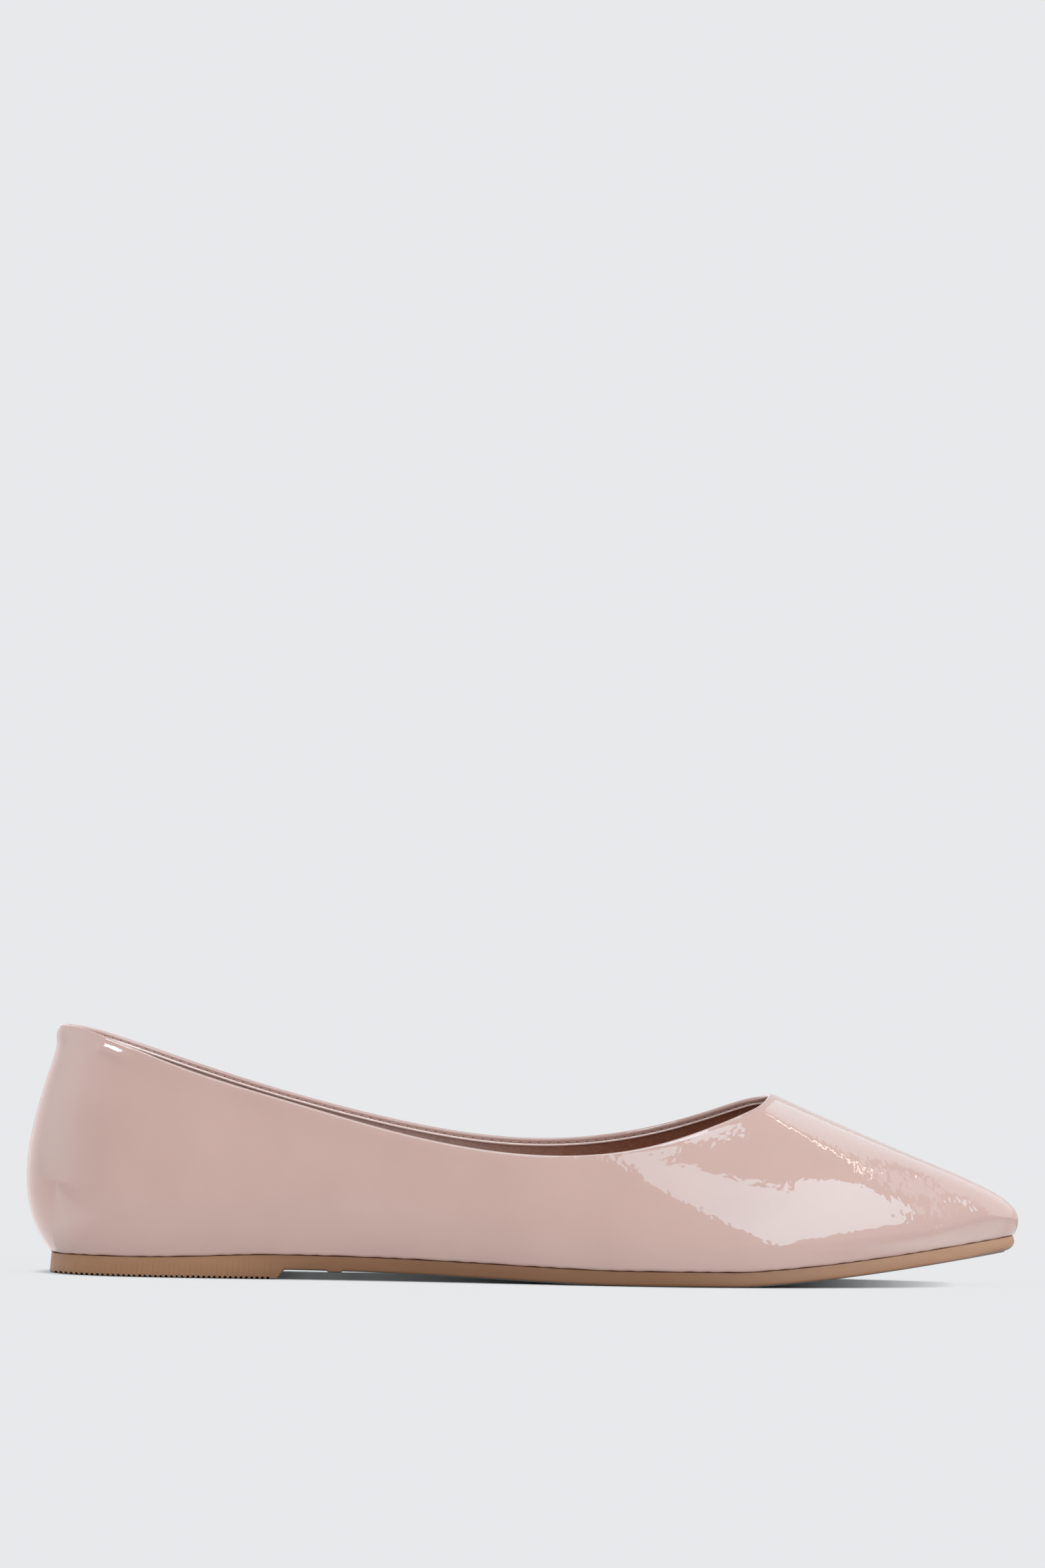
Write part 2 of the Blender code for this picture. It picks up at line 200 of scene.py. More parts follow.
# Topline: x, shares of ball and heel width, shares of the rise to the back and to the throat
TOPLINE = (
    (0.0324, 0.0, 0.0, 1.000, 0.0),
    (0.0605, 0.0, -0.262, 0.958, 0.0),
    (0.141, 0.0, -0.422, 0.716, 0.0),
    (0.258, -0.060, -0.417, 0.422, 0.0),
    (0.387, -0.270, -0.174, 0.140, 0.0),
    (0.508, -0.404, 0.0, 0.0, 0.0),
    (0.605, -0.392, 0.0, 0.0, 0.096),
    (0.676, -0.322, 0.0, 0.0, 0.420),
    (0.721, -0.226, 0.0, 0.0, 0.713),
    (0.742, -0.105, 0.0, 0.0, 0.905),
    (0.747, 0.035, 0.0, 0.0, 1.000),
    (0.743, 0.155, 0.0, 0.0, 0.968),
    (0.723, 0.246, 0.0, 0.0, 0.879),
    (0.676, 0.337, 0.0, 0.0, 0.611),
    (0.609, 0.383, 0.0, 0.0, 0.312),
    (0.512, 0.386, 0.0, 0.040, 0.075),
    (0.387, 0.200, 0.244, 0.190, 0.0),
    (0.258, 0.050, 0.412, 0.448, 0.0),
    (0.141, 0.0, 0.417, 0.748, 0.0),
    (0.0605, 0.0, 0.262, 0.960, 0.0),
)

# Ribs: lean out at the foot in degrees and its pull, slope at the topline and its pull
RIBS = (
    (39, 0.43, 100, 0.12),
    (37, 0.41, 97, 0.14),
    (32, 0.36, 88, 0.22),
    (29, 0.33, 83, 0.30),
    (29, 0.33, 82, 0.33),
    (22, 0.33, 74, 0.36),
    (15, 0.33, 58, 0.42),
    (11, 0.33, 44, 0.50),
    (12, 0.32, 33, 0.62),
    (18, 0.33, 27, 0.73),
    (25, 0.344, 24.3, 0.78),
    (24, 0.34, 26, 0.73),
    (22, 0.37, 30, 0.62),
    (23, 0.41, 41, 0.50),
    (26, 0.42, 55, 0.42),
    (33, 0.38, 72, 0.36),
    (38, 0.34, 80, 0.33),
    (31, 0.33, 82, 0.30),
    (32, 0.36, 88, 0.22),
    (37, 0.41, 97, 0.14),
)


def closed_spline(knots, period, values):
    """A smooth closed curve through the values at the knots, and its derivative."""
    count = len(knots)
    after = np.roll(np.arange(count), -1)
    step = np.diff(np.append(knots, knots[0] + period))
    slope = (values[after] - values) / step[:, None]
    system = np.zeros((count, count))
    for i in range(count):
        system[i, i - 1] += step[i - 1]
        system[i, i] += 2 * (step[i - 1] + step[i])
        system[i, after[i]] += step[i]
    bend = np.linalg.solve(system, 6 * (slope - np.roll(slope, 1, axis=0)))

    def at(places):
        places = np.asarray(places, float) % period
        i = np.searchsorted(knots, places, side="right") - 1
        h = step[i][:, None]
        along = (places - knots[i])[:, None]
        left, right = bend[i], bend[after[i]]
        base = slope[i] - h * (2 * left + right) / 6
        curve = values[i] + along * base + along**2 * left / 2
        curve = curve + along**3 * (right - left) / (6 * h)
        return curve, base + along * left + along**2 * (right - left) / (2 * h)

    return at


def smooth_step(value):
    value = np.clip(value, 0.0, 1.0)
    return value * value * (3 - 2 * value)


def soft_ramp(x, low, high, fillet):
    """0 below low and 1 above high, straight between, with both corners rounded."""
    def corner(distance):
        rounded = (distance + fillet) ** 2 / (4 * fillet)
        return np.where(distance > fillet, distance, np.where(distance < -fillet, 0.0, rounded))
    return (corner(x - low) - corner(x - high)) / (high - low)


def toe_run(x):
    return np.clip((x - FLAT_FRONT_X) / (TIP_X - FLAT_FRONT_X), 0.0, None)


def waist_and_forefoot(x):
    share = np.clip((FLAT_BACK_X - x) / (FLAT_BACK_X - BREAST_X), 0.0, 1.0)
    return ARCH_RISE * np.sin(share * math.pi / 2) ** ARCH_POWER + TOE_SPRING * toe_run(x) ** SPRING_POWER


def shank(x):
    """Underside of the sole without its heel block."""
    under_seat = HEEL_THICKNESS - SOLE_THICKNESS
    rise = smooth_step((x - SEAT_RISE_X) / (BREAST_X - SEAT_RISE_X))
    seat = under_seat + (ARCH_RISE - under_seat) * rise
    return np.where(x < BREAST_X, seat, waist_and_forefoot(x))


def sole_top(x):
    return shank(x) + SOLE_THICKNESS


def sole_under(x):
    """Underside with the heel block's front face and the bar across the waist."""
    half = BREAST_SLOPE / 2
    front = soft_ramp(x, BREAST_X - half, BREAST_X + half, BREAST_FILLET)
    side = LUG_WIDTH / 2
    crown = side - LUG_HEIGHT
    bar = soft_ramp(x, LUG_X - side, LUG_X - crown, LUG_FILLET)
    bar = bar - soft_ramp(x, LUG_X + crown, LUG_X + side, LUG_FILLET)
    return waist_and_forefoot(x) * front - LUG_HEIGHT * bar


def last_curves():
    """The outline, topline and ribs as closed curves over one parameter that runs round the shoe."""
    rows = []
    for (x, ball, heel), top, rib in zip(OUTLINE, TOPLINE, RIBS, strict=True):
        top_x, top_ball, top_heel, to_back, to_throat = top
        rise = to_back * (BACK_HEIGHT - SIDE_HEIGHT) + to_throat * (THROAT_HEIGHT - SIDE_HEIGHT)
        foot_place = [x * SHOE_LENGTH, ball * BALL_WIDTH + heel * HEEL_WIDTH]
        top_y = top_ball * BALL_WIDTH + top_heel * HEEL_WIDTH
        rows.append([*foot_place, top_x * SHOE_LENGTH, top_y, SIDE_HEIGHT + rise, *rib])
    rows = np.array(rows)
    chords = np.hypot(*np.diff(rows[:, :2], axis=0, append=rows[:1, :2]).T)
    knots = np.concatenate([[0.0], np.cumsum(chords)[:-1]])
    return closed_spline(knots, chords.sum(), rows), chords.sum()


curves, period = last_curves()


def paired_columns(places):
    """Columns round the shoe, in pairs across from each other at these x."""
    dense = np.linspace(0.0, period, 16001)
    x = curves(dense)[0][:, 0]
    tip = dense[np.argmax(x)]
    outer = dense <= tip
    places = np.clip(places, x.min(), x.max())
    go = np.interp(places[1:-1], x[outer], dense[outer])
    come = np.interp(places[1:-1], x[~outer][::-1], dense[~outer][::-1])
    return np.array([0.0, *go, tip, *come[::-1]])


def columns_with(extra):
    """Even columns round the shoe, with some more at given places."""
    even = np.arange(0.0, period, COLUMN_PITCH)
    extra = np.asarray(extra) % period
    away = np.abs(even[:, None] - extra[None, :])
    away = np.minimum(away, period - away).min(axis=1)
    return np.sort(np.concatenate([even[away > 0.6 * COLUMN_PITCH], extra]))


def outline_normals(slope):
    tangent = slope[:, :2] / np.linalg.norm(slope[:, :2], axis=1)[:, None]
    return np.column_stack([tangent[:, 1], -tangent[:, 0]])


def ribs_at(s, t):
    """Points of the outer surface, rows x columns; t is one row of shares, or one per column."""
    value, slope = curves(s)
    foot = np.column_stack([value[:, :2], sole_top(value[:, 0]) + GAP])
    top = value[:, 2:5]
    out = outline_normals(slope)
    lean, foot_pull, pitch, top_pull = value[:, 5:9].T
    lean, pitch = np.radians(lean), np.radians(pitch)
    rise = top[:, 2] - foot[:, 2]
    reach = np.linalg.norm(top - foot, axis=1)
    across = foot[:, :2] - top[:, :2] + TOP_TURN * out
    across /= np.linalg.norm(across, axis=1)[:, None]
    first = np.column_stack([out * np.sin(lean)[:, None], np.cos(lean)]) * (foot_pull * rise)[:, None]
    last = np.column_stack([across * np.cos(pitch)[:, None], -np.sin(pitch)]) * (top_pull * reach)[:, None]
    t = np.asarray(t, float)
    t = t[:, None, None] if t.ndim == 1 else t[:, :, None]
    surface = (1 - t) ** 3 * foot + 3 * (1 - t) ** 2 * t * (foot + first)
    return surface + 3 * (1 - t) * t**2 * (top + last) + t**3 * top


def unit(vectors):
    return vectors / np.linalg.norm(vectors, axis=-1)[..., None]


def skin_frames(s, t):
    """Points, outward normals and upward tangents of the outer surface."""
    small = 1e-5
    along = ribs_at(s + small, t) - ribs_at(s - small, t)
    up = ribs_at(s, t + small) - ribs_at(s, t - small)
    return ribs_at(s, t), unit(np.cross(along, up)), unit(up)


def sunk(s, t, depth):
    """Points at a depth below the outer surface."""
    points, normals, _ = skin_frames(s, t)
    return points - normals * depth


class Ribs:
    """Rows on the outer surface, placed by the distance along each rib."""

    def __init__(self, s):
        self.s = s
        self.fine = np.linspace(0.0, 1.0, 241)
        points = ribs_at(s, self.fine)
        steps = np.linalg.norm(np.diff(points, axis=0), axis=2)
        self.run = np.concatenate([np.zeros((1, len(s))), np.cumsum(steps, axis=0)])
        self.full = self.run[-1]

    def at_runs(self, runs):
        """Shares t of each column at these distances from its foot, rows x columns."""
        shares = [np.interp(runs[:, i], self.run[:, i], self.fine) for i in range(len(self.s))]
        return np.array(shares).T

    def below_top(self, distances):
        return self.at_runs(self.full[None, :] - np.asarray(distances)[:, None])

    def between(self, start, end, count):
        """Even rows from a distance above the foot to a distance below the topline."""
        shares = np.linspace(0.0, 1.0, count)[:, None]
        return self.at_runs(start + (self.full[None, :] - end - start) * shares)


def towards_spine(points, distance):
    x = np.clip(points[:, 0], SPINE_BACK_X, SPINE_FRONT_X)
    y = SPINE_FRONT_Y * (x - SPINE_BACK_X) / (SPINE_FRONT_X - SPINE_BACK_X)
    inward = np.column_stack([x, y]) - points
    return points + distance * unit(inward)


def on_sole(points, height):
    return np.column_stack([points, sole_top(points[:, 0]) + height])


def ring_faces(levels, count, closed):
    """Quads between stacked closed loops, listed from inside the bottom round to the outside."""
    faces = []
    for level in range(levels if closed else levels - 1):
        low, high = level * count, (level + 1) % levels * count
        for i in range(count):
            j = (i + 1) % count
            faces.append((low + i, low + j, high + j, high + i))
    return faces


def add_mesh(name, points, faces, materials):
    mesh = bpy.data.meshes.new(name)
    mesh.from_pydata(points, [], faces)
    for material in materials:
        mesh.materials.append(material)
    item = bpy.data.objects.new(name, mesh)
    bpy.context.scene.collection.objects.link(item)
    return item


def make_piece(name, points, faces, materials, slots=None):
    """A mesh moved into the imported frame, riding on the only body."""
    points = np.asarray(points, float) - np.array([*MIDDLE, 0.0])
    piece = add_mesh(name, points.tolist(), faces, materials)
    if slots is not None:
        piece.data.polygons.foreach_set("material_index", slots)
    piece.data.shade_smooth()
    piece.data.set_sharp_from_angle(angle=SHARP_ANGLE)
    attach(piece, "root")
    return piece


# Node helpers
def colour_of(levels):
    """Linear colour of an 8-bit sRGB one."""
    return (*[((level / 255 + 0.055) / 1.055) ** 2.4 for level in levels], 1.0)


def map_range(tree, places, values):
    node = tree.nodes.new("ShaderNodeMapRange")
    for socket, number in zip(("From Min", "From Max", "To Min", "To Max"), (*places, *values)):
        node.inputs[socket].default_value = number
    return node


def calculate(tree, operation, *values):
    """A math node over numbers and outputs."""
    node = tree.nodes.new("ShaderNodeMath")
    node.operation = operation
    for socket, value in enumerate(values):
        if isinstance(value, float):
            node.inputs[socket].default_value = value
        else:
            tree.links.new(value, node.inputs[socket])
    return node.outputs[0]


class Nodes:
    """A material with its shader, and short ways to add nodes."""

    def __init__(self, name, roughness, **sockets):
        self.material = bpy.data.materials.new(name)
        self.material.use_nodes = True
        self.tree = self.material.node_tree
        self.shader = self.tree.nodes["Principled BSDF"]
        self.shader.inputs["Roughness"].default_value = roughness
        for socket, value in sockets.items():
            self.shader.inputs[socket.replace("_", " ")].default_value = value
        self.place = self.tree.nodes.new("ShaderNodeTexCoord").outputs["Object"]

    def link(self, output, node, socket):
        self.tree.links.new(output, node.inputs[socket])

    def add(self, kind, output, socket, **values):
        """A node with these values, and an output linked to one of its sockets."""
        node = self.tree.nodes.new(kind)
        for name, value in values.items():
            node.inputs[name].default_value = value
        self.link(output, node, socket)
        return node

    def stretched(self, scale):
        return self.add("ShaderNodeMapping", self.place, "Vector", Scale=scale).outputs[0]

    def noise(self, scale, detail=2.0, place=None):
        place = place or self.place
        return self.add("ShaderNodeTexNoise", place, "Vector", Scale=scale, Detail=detail).outputs["Fac"]

    def cells(self, scale):
        return self.add("ShaderNodeTexVoronoi", self.place, "Vector", Scale=scale).outputs["Distance"]

    def tones(self, value, deep, pale, start=0.35):
        """A ramp between two 8-bit colours, over the middle of the value's range."""
        node = self.add("ShaderNodeValToRGB", value, "Fac")
        for element, place, levels in zip(node.color_ramp.elements, (start, 1 - start), (deep, pale)):
            element.position, element.color = place, colour_of(levels)
        return node.outputs["Color"]

    def spread(self, value, low, high):
        """Maps the middle of a noise's range to low and high."""
        node = map_range(self.tree, (0.3, 0.7), (low, high))
        self.link(value, node, "Value")
        return node.outputs[0]

    def bump(self, value, distance, strength=1.0, below=None):
        node = self.add("ShaderNodeBump", value, "Height", Distance=distance, Strength=strength)
        if below is not None:
            self.link(below, node, "Normal")
        return node.outputs[0]

    def along_x(self, low, high):
        """0 to 1 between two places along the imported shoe."""
        split = self.add("ShaderNodeSeparateXYZ", self.place, 0)
        node = map_range(self.tree, (low, high), (0.0, 1.0))
        node.interpolation_type = "SMOOTHSTEP"
        self.link(split.outputs["X"], node, "Value")
        return node.outputs[0]

    def blend(self, share, first, second):
        node = self.tree.nodes.new("ShaderNodeMix")
        node.data_type = "RGBA"
        self.link(share, node, "Factor")
        self.link(first, node, 6)
        self.link(second, node, 7)
        return node.outputs[2]

    def set(self, socket, output):
        self.link(output, self.shader, socket)


def patent_material():
    gloss = {"Coat_Weight": 1.0, "Coat_Roughness": 0.02, "Coat_IOR": 1.5}
    nodes = Nodes("nude_patent", 0.45, Specular_IOR_Level=0.06, **gloss)
    nodes.set("Base Color", nodes.tones(nodes.noise(38, 3), (199, 165, 155), (204, 170, 160)))
    waves = nodes.bump(nodes.noise(150, 2), 0.06 * MM)
    wrinkles = nodes.bump(nodes.noise(480, 1), 0.04 * MM, below=waves)
    fine = nodes.bump(nodes.noise(1300, 2), 0.0025 * MM, below=wrinkles)
    nodes.set("Normal", fine)
    nodes.set("Coat Normal", fine)
    return nodes.material


def bead_painted_highlight_material():
    """The bead along the edge of the turned band, near white as a painted highlight of the light it
    catches from overhead.
    """
    nodes = Nodes("bead_painted_highlight", 0.4, Coat_Weight=0.6, Coat_Roughness=0.1)
    nodes.set("Base Color", nodes.tones(nodes.noise(600, 3), (248, 224, 217), (253, 232, 226)))
    nodes.set("Normal", nodes.bump(nodes.noise(1800, 2), 0.02 * MM))
    return nodes.material


def lining_material(name, back, front):
    """Brushed cloth, greyer behind and browner and darker in the forepart, which is mostly painted shade
    of the deep inside there; a deep and a pale tone of each.
    """
    nodes = Nodes(name, 0.85, Sheen_Weight=0.15, Sheen_Roughness=0.5)
    nap = nodes.noise(900, 4)
    tones = [nodes.tones(nap, *pair) for pair in (back, front)]
    nodes.set("Base Color", nodes.blend(nodes.along_x(-0.04, 0.035), *tones))
    grain = nodes.bump(nodes.cells(1900), 0.05 * MM, 0.6)
    nodes.set("Normal", nodes.bump(nodes.noise(2600, 3), 0.04 * MM, below=grain))
    return nodes.material


def plain_material(name, roughness, deep, pale):
    """Thread, and the painted shade of needle holes, too small to show more than an uneven tone."""
    nodes = Nodes(name, roughness)
    nodes.set("Base Color", nodes.tones(nodes.noise(3000), deep, pale, 0.3))
    return nodes.material


def rubber_material():
    """Tan rubber, darker along the waist and ball than at the heel and toe, which is painted light and
    shade.
    """
    nodes = Nodes("tan_rubber", 0.5, Specular_IOR_Level=0.3)
    streaks = nodes.noise(60, 4, nodes.stretched((0.35, 0.35, 4.0)))
    heel = nodes.tones(streaks, (146, 104, 74), (160, 117, 85), 0.3)
    # painted shade of the waist and ball under the arch
    shaded_waist = nodes.tones(streaks, (120, 81, 54), (132, 92, 64), 0.3)
    toe = nodes.tones(streaks, (166, 124, 97), (178, 136, 108), 0.3)
    # dark tone of the painted shade along the lower edge, underside and grooves
    edge_painted_shade = nodes.tones(streaks, (48, 35, 27), (62, 46, 36), 0.3)
    behind = nodes.blend(nodes.along_x(-0.085, -0.045), heel, shaded_waist)
    colour = nodes.blend(nodes.along_x(0.03, 0.14), behind, toe)
    edge = nodes.tree.nodes.new("ShaderNodeAttribute")
    edge.attribute_name = EDGE_SHADE
    nodes.set("Base Color", nodes.blend(edge.outputs["Fac"], colour, edge_painted_shade))
    nodes.set("Roughness", nodes.spread(nodes.noise(500, 3), 0.42, 0.56))
    nodes.set("Normal", nodes.bump(nodes.noise(1500, 3), 0.03 * MM))
    return nodes.material


# Creases and dents of the drawn patent, as lines in side view: side, points (x, z) in mm,
# half width in mm and depth in mm, a ridge being negative
CREASES = (
    ("outer", ((13, 56.5), (22, 52.5), (30, 50.2), (45, 47.7), (60, 43.5)), 3.2, 0.10),
    ("outer", ((14.9, 53.7), (14.8, 44.9), (15.4, 34.4)), 3.0, -0.06),
    ("outer", ((19.6, 58.4), (24.0, 56.3)), 1.4, -0.52),
    ("outer", ((187.4, 27.0), (196, 25.4)), 1.6, 0.05),
    ("outer", ((226.4, 20.9), (229.2, 19.4)), 1.2, -0.05),
    ("outer", ((70, 23), (92, 20), (110, 21.5)), 4.5, 0.06),
    ("outer", ((128, 14), (139, 20)), 3.0, 0.04),
    ("outer", ((236, 22.5), (244, 20)), 2.2, 0.03),
    ("inner", ((14, 55), (27, 51), (44, 48)), 3.4, 0.10),
    ("inner", ((70, 24), (95, 21), (116, 23)), 4.5, 0.07),
    ("inner", ((178, 40), (192, 34)), 2.6, 0.06),
    ("inner", ((196, 36), (214, 28)), 2.0, -0.05),
)
SEAM_SIDE = 2.3 * MM  # the back seam stands a little to the outer side
SEAM_DEPTH = 0.24 * MM
SEAM_HALF = 0.35 * MM
SEAM_FADE = 4.0 * MM  # it starts to show this far below the topline
SEAM_COLUMNS = np.array([-1.1, -0.75, -0.5, -0.32, -0.16, 0.0, 0.16, 0.32, 0.5, 0.75, 1.1]) * MM
ROLL_WIDTH = 2.6 * MM  # patent rolling over towards the topline
ROLL_DEPTH = 0.30 * MM
PULL_DEPTH = 0.06 * MM  # small waves where the edge was pulled over the last
PULL_REACH = 3.5 * MM
BACK_FLARE = 0.95 * MM  # the padded collar stands out at the back
BACK_FLARE_DOWN = 2.3 * MM
BACK_FLARE_HALF = 2.6 * MM
BACK_FLARE_REACH = 11.0 * MM


def line_distance(points, line):
    """Distance of every point to a broken line in space."""
    nearest = np.full(points.shape[:-1], np.inf)
    for start, end in zip(line[:-1], line[1:]):
        run = end - start
        share = np.clip((points - start) @ run / (run @ run), 0.0, 1.0)
        gap = points - (start + share[..., None] * run)
        nearest = np.minimum(nearest, np.linalg.norm(gap, axis=-1))
    return nearest


def creases(points, s):
    """Lift of the listed creases, in metres."""
    lift = np.zeros(points.shape[:-1])
    outer = np.broadcast_to((s < period * 0.5)[None, :], lift.shape)
    for side, line, half_width, depth in CREASES:
        mine = outer if side == "outer" else ~outer
        places = []
        for x, z in line:
            away = np.hypot(points[..., 0] - x * MM, points[..., 2] - z * MM)
            places.append(points[np.unravel_index(np.argmin(np.where(mine, away, 1.0)), away.shape)])
        away = line_distance(points, np.array(places)) / (half_width * MM)
        lift -= depth * MM * np.exp(-(away**2)) * mine
    return lift


def relief(points, s, height, below_top):
    """Soft unevenness of the drawn patent, outwards, in metres."""
    x = points[..., 0]
    waves = np.sin(x * 1130 + 1.3 * np.sin(x * 410)) * 0.5 + np.sin(x * 1990 + 2.0) * 0.3
    pulls = PULL_DEPTH * waves * np.exp(-((height / PULL_REACH) ** 2))
    around = np.minimum(s, period - s)
    back = np.exp(-((around / BACK_FLARE_REACH) ** 2))[None, :]
    flare = BACK_FLARE * back * np.exp(-(((below_top - BACK_FLARE_DOWN) / BACK_FLARE_HALF) ** 2))
    roll = ROLL_DEPTH * np.clip(1 - below_top / ROLL_WIDTH, 0.0, 1.0) ** 2
    seam = np.exp(-(((s - SEAM_SIDE) / SEAM_HALF) ** 2))[None, :] * smooth_step(below_top / SEAM_FADE)
    return pulls + flare - roll - SEAM_DEPTH * seam + creases(points, s)


def patent_skin(s, ribs):
    """Rows of the visible side, and the upward tangents of the last one."""
    points, normals, rising = skin_frames(s, ribs.between(SCENE_FEATHER, RIM_RADIUS, SKIN_ROWS))
    shares = np.linspace(0.0, 1.0, SKIN_ROWS)[:, None]
    height = SCENE_FEATHER + shares * (ribs.full - RIM_RADIUS - SCENE_FEATHER)[None, :]
    lift = relief(points, s, height, ribs.full[None, :] - height)
    return points + normals * lift[:, :, None], rising[-1]


def feather_edge(s, outline, out, first):
    """The side turning in over the sole, which it presses unevenly."""
    seat = SEAT_GAP + 0.5 * SEAT_WAVE * (1 + np.sin(s * 930 + 2 * np.sin(s * 310)))
    low = on_sole(outline - 1.6 * SCENE_FEATHER * out, seat)
    corner = on_sole(outline - 0.1 * SCENE_FEATHER * out, seat)
    turn = [(1 - u) ** 2 * low + 2 * u * (1 - u) * corner + u * u * first for u in (0.25, 0.5, 0.75)]
    return [low, *turn]


def turned_band(s, ribs):
    """Loops of the band inside the topline: its flat part with the stitches' groove, then its bead."""
    flat = np.linspace(RIM_RADIUS, BEAD_DOWN - BEAD_RADIUS, 4)
    turn = np.radians(np.arange(15, 180, 25))
    downs = np.concatenate([flat, BEAD_DOWN - BEAD_RADIUS * np.cos(turn)])
    swell = np.concatenate([0 * flat, BEAD_RADIUS * np.sin(turn)])
    groove = STITCH_GROOVE * np.exp(-(((downs - STITCH_DOWN) / GROOVE_HALF) ** 2))
    band = sunk(s, ribs.below_top(downs), (2 * RIM_RADIUS + swell - groove)[:, None, None])
    return band[:len(flat)], band[len(flat):]


def folded_rim(first, last, rising):
    """Half rounds from the outside over the topline to the band."""
    centre, half = (first + last) / 2, (first - last) / 2
    turns = np.radians(np.arange(20, 180, 20))
    return [centre + math.cos(turn) * half + RIM_RADIUS * math.sin(turn) * rising for turn in turns]


def make_upper():
    s = columns_with(np.concatenate([SEAM_SIDE + SEAM_COLUMNS, [0.0]]))
    ribs = Ribs(s)
    value, slope = curves(s)
    outline, out = value[:, :2], outline_normals(slope)
    outer, rising = patent_skin(s, ribs)
    flat, bead = turned_band(s, ribs)
    downs = [BAND + 0.7 * BAND_STEP, BAND + BAND_STEP]
    depths = np.array([2 * RIM_RADIUS - 0.4 * BAND_STEP, PATENT])[:, None, None]
    edge = sunk(s, ribs.below_top(downs), depths)
    inside = sunk(s, ribs.between(0.0, BAND + BAND_STEP, INSIDE_ROWS)[::-1][1:], PATENT)
    half, full = (towards_spine(outline, share * LASTING_MARGIN) for share in (0.5, 1.0))
    below = [on_sole(full, GAP), on_sole(half, GAP), *feather_edge(s, outline, out, outer[0])]
    above = [on_sole(half, GAP + PATENT), on_sole(full, GAP + PATENT)]
    rim = folded_rim(outer[-1], flat[0], rising)
    loops = [*below, *outer, *rim, *flat, *bead, *edge, *inside, *above]
    bead_start = len(below) + len(outer) + len(rim) + len(flat) - 1
    slots = np.zeros(len(loops) * len(s), dtype=np.int32)
    slots[bead_start * len(s):(bead_start + len(bead) + 1) * len(s)] = 1
    faces = ring_faces(len(loops), len(s), True)
    # the bead's slot takes a near white material, a painted highlight
    materials = [patent_material(), bead_painted_highlight_material()]
    return make_piece("patent_upper", np.concatenate(loops), faces, materials, slots=slots)


def lining_columns():
    """Columns with more of them across the edge of the heel grip on both sides."""
    dense = np.linspace(0, period, 8001)
    x = curves(dense)[0][:, 0]
    grip_s = dense[np.nonzero(np.diff(np.sign(x - GRIP_X)))[0]]
    near = np.array([-0.5, -0.25, -0.12, 0.0, 0.12, 0.25, 0.5]) * MM
    return columns_with(np.concatenate([place + near for place in grip_s]))


def make_lining():
    s = lining_columns()
    ribs = Ribs(s)
    outline = curves(s)[0][:, :2]
    x = outline[:, 0]
    behind = smooth_step((GRIP_X + GRIP_STEP - x) / (2 * GRIP_STEP))
    bead = GRIP_BEAD * np.exp(-(((x - GRIP_X + GRIP_BEAD_HALF) / GRIP_BEAD_HALF) ** 2))
    inner_depth = (LINING_IN + (GRIP_IN - LINING_IN) * behind + bead)[None, :, None]
    top = BAND + BAND_STEP + LINING_TOP
    outside = sunk(s, ribs.between(LINING_FOOT, top, INSIDE_ROWS), LINING_OUT)
    crown = sunk(s, ribs.below_top([top]), LINING_OUT + (inner_depth - LINING_OUT) * 0.6)
    inside = sunk(s, ribs.between(LINING_FOOT, top + LINING_ROUND, LINING_ROWS)[::-1], inner_depth)
    near, far = (towards_spine(outline, reach) for reach in LINING_MARGIN)
    low, high = GAP + PATENT + LINING_SEAT, GAP + LINING_IN
    turn_low = [on_sole(far, low), on_sole(near, low)]
    turn_high = [on_sole(near, high), on_sole(far, high)]
    loops = [*turn_low, *outside, *crown, *inside, *turn_high]
    faces = ring_faces(len(loops), len(s), True)
    # the forepart's darker tones are mostly painted shade of the deep inside
    heel_tones, fore_shaded_tones = ((168, 139, 131), (182, 154, 146)), ((146, 92, 68), (160, 106, 80))
    cloth = lining_material("lining_cloth", heel_tones, fore_shaded_tones)
    return make_piece("lining", np.concatenate(loops), faces, [cloth])


def across(loop, shares):
    """Points between each pair of a loop's columns, pairs x shares, without the two ends."""
    half = len(loop) // 2
    left, right = loop[1:half, None, :], loop[:half:-1, None, :]
    return left + (right - left) * np.asarray(shares)[None, :, None]


def bridge(start, count, inner_start, inner, up):
    """Faces over a closed loop of paired columns, through inner points on each rung."""
    rungs = []
    half = count // 2
    for i in range(half + 1):
        if i in (0, half):
            rungs.append([start + i])
            continue
        row = inner_start + (i - 1) * inner
        rungs.append([start + i, *range(row, row + inner), start + count - i])
    faces = []
    for low, high in zip(rungs[:-1], rungs[1:]):
        if len(low) == 1:
            new = [(low[0], high[k], high[k + 1]) for k in range(len(high) - 1)]
        elif len(high) == 1:
            new = [(low[k], high[0], low[k + 1]) for k in range(len(low) - 1)]
        else:
            new = [(low[k], high[k], high[k + 1], low[k + 1]) for k in range(len(low) - 1)]
        faces += new if up else [face[::-1] for face in new]
    return faces


def filled_stack(loops, *ends):
    """Points and faces of stacked loops; an end is a level, its inner points and if it faces up."""
    count = len(loops[0])
    points, faces = np.concatenate(loops), ring_faces(len(loops), count, False)
    for level, fill, up in ends:
        faces += bridge(level * count, count, len(points), fill.shape[1], up)
        points = np.concatenate([points, fill.reshape(-1, 3)])
    return points, faces


def paced_places(end_rows, middle_rows):
    """Places along the shoe, closer together towards its two round ends."""
    turn = np.linspace(0.0, math.pi / 2, end_rows)
    back = BACK_X + (HEEL_CAP_X - BACK_X) * (1 - np.cos(turn))
    front = TIP_X - (TIP_X - TOE_CAP_X) * (1 - np.cos(turn[::-1]))
    return np.array([*back, *np.linspace(HEEL_CAP_X, TOE_CAP_X, middle_rows)[1:-1], *front])


